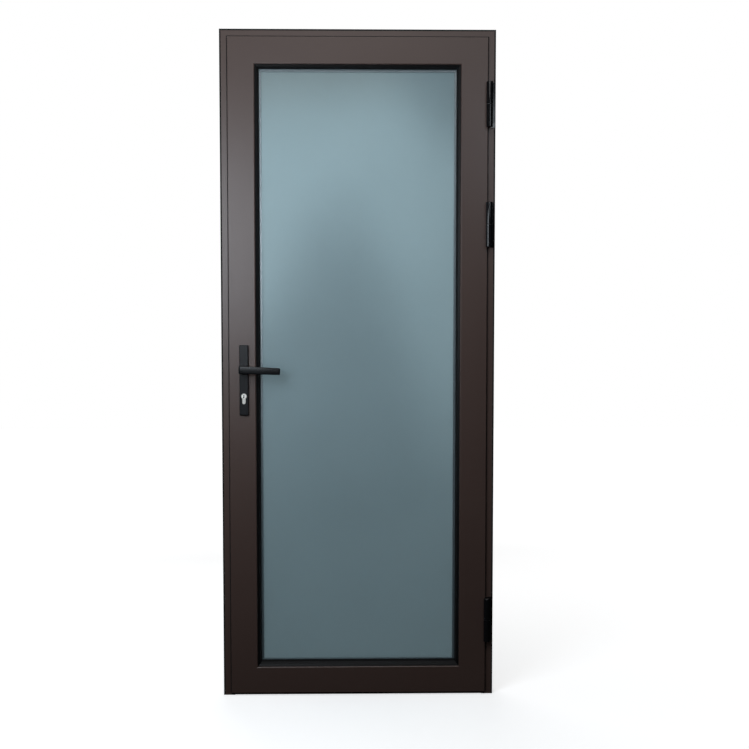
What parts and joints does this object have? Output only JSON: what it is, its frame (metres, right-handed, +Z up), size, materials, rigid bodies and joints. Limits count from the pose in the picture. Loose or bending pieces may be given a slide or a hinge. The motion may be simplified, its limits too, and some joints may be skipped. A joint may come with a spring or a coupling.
{
  "type": "glazed door with frame",
  "caption": "Hinged aluminium door leaf with a full-height frosted glass unit, lever lock and barrel hinges, in a frame on its sides and head.",
  "frame": {"origin": "floor level under the middle of the frame's width, on the middle plane of the closed leaf", "axes": "+Z up along the height, +X along the width towards the hinges, -Y the outside face with the hinge barrels"},
  "size_m": [0.86, 0.17, 2.1],
  "materials": {
    "brown_powder_coat": "satin powder coat",
    "black_bead_coat": "satin powder coat",
    "black_hinge_coat": "satin powder coat",
    "black_handle_coat": "satin powder coat",
    "black_epdm": "matte",
    "frosted_glass": "satin frosted",
    "zinc_plated_steel": "satin",
    "white_nylon": "matte",
    "black_nylon": "matte",
    "mill_aluminium": "mill finish",
    "satin_nickel": "satin nickel plate",
    "edge_sealant": "matte",
    "brush_pile": "matte"
  },
  "bodies": {
    "frame": {"frame_lock_jamb": "brown_powder_coat", "frame_hinge_jamb": "brown_powder_coat", "frame_head": "brown_powder_coat", "frame_corner_cleats": "mill_aluminium", "frame_stop_gasket": "black_epdm", "strike_plate": "zinc_plated_steel", "strike_screws": "zinc_plated_steel", "hinge_frame_screws": "black_hinge_coat", "top_hinge_frame_half": "black_hinge_coat", "middle_hinge_frame_half": "black_hinge_coat", "bottom_hinge_frame_half": "black_hinge_coat", "top_hinge_pin": "zinc_plated_steel", "middle_hinge_pin": "zinc_plated_steel", "bottom_hinge_pin": "zinc_plated_steel"},
    "leaf": {"leaf_lock_stile": "brown_powder_coat", "leaf_hinge_stile": "brown_powder_coat", "leaf_top_rail": "brown_powder_coat", "leaf_bottom_rail": "brown_powder_coat", "leaf_corner_cleats": "mill_aluminium", "leaf_lip_gasket": "black_epdm", "front_glass_pane": "frosted_glass", "rear_glass_pane": "frosted_glass", "glass_spacer": "mill_aluminium", "glass_edge_sealant": "edge_sealant", "setting_blocks": "white_nylon", "lock_side_bead": "black_bead_coat", "hinge_side_bead": "black_bead_coat", "top_bead": "black_bead_coat", "bottom_bead": "black_bead_coat", "front_glazing_gasket": "black_epdm", "rear_glazing_gasket": "black_epdm", "brush_carrier": "mill_aluminium", "bottom_brush": "brush_pile", "top_hinge_leaf_half": "black_hinge_coat", "middle_hinge_leaf_half": "black_hinge_coat", "bottom_hinge_leaf_half": "black_hinge_coat", "top_hinge_bush": "black_nylon", "middle_hinge_bush": "black_nylon", "bottom_hinge_bush": "black_nylon", "hinge_leaf_screws": "black_hinge_coat", "lock_case": "zinc_plated_steel", "lock_cover": "zinc_plated_steel", "lock_faceplate": "satin_nickel", "faceplate_screws": "satin_nickel", "cylinder_body": "satin_nickel", "cylinder_screw": "zinc_plated_steel", "front_handle_plate": "black_handle_coat", "rear_handle_plate": "black_handle_coat", "handle_bolts": "zinc_plated_steel"},
    "lever": {"front_lever": "black_handle_coat", "rear_lever": "black_handle_coat", "spindle": "zinc_plated_steel", "lock_follower": "zinc_plated_steel", "lever_grub_screws": "zinc_plated_steel"},
    "latch": {"latch_bolt": "satin_nickel"},
    "dead_bolt": {"dead_bolt": "satin_nickel"},
    "key_cylinder": {"front_key_plug": "satin_nickel", "rear_key_plug": "satin_nickel", "cylinder_cam": "zinc_plated_steel"}
  },
  "joints": [
    {"name": "leaf_swing", "type": "hinge", "parent": "frame", "child": "leaf", "pos_m": [0.409, -0.036, 1.05], "axis": [0, 0, 1], "range_deg": [0, 110]},
    {"name": "lever_turn", "type": "hinge", "parent": "leaf", "child": "lever", "pos_m": [-0.358, 0, 1.045], "axis": [0, 1, 0], "range_deg": [0, 45], "stiffness_Nm_per_rad": 1.5, "springref_deg": -28.65},
    {"name": "latch_slide", "type": "slide", "parent": "leaf", "child": "latch", "axis": [1, 0, 0], "range_m": [0, 0.012]},
    {"name": "key_turn", "type": "hinge", "parent": "leaf", "child": "key_cylinder", "pos_m": [-0.358, 0, 0.96], "axis": [0, -1, 0], "range_deg": [0, 360]},
    {"name": "dead_bolt_slide", "type": "slide", "parent": "leaf", "child": "dead_bolt", "axis": [-1, 0, 0], "range_m": [0, 0.02]}
  ],
  "couplings": [
    {"joint": "latch_slide", "follows": "lever_turn", "m_per_rad": 0.015279},
    {"joint": "key_turn", "follows": "dead_bolt_slide", "rad_per_m": 314.15}
  ]
}
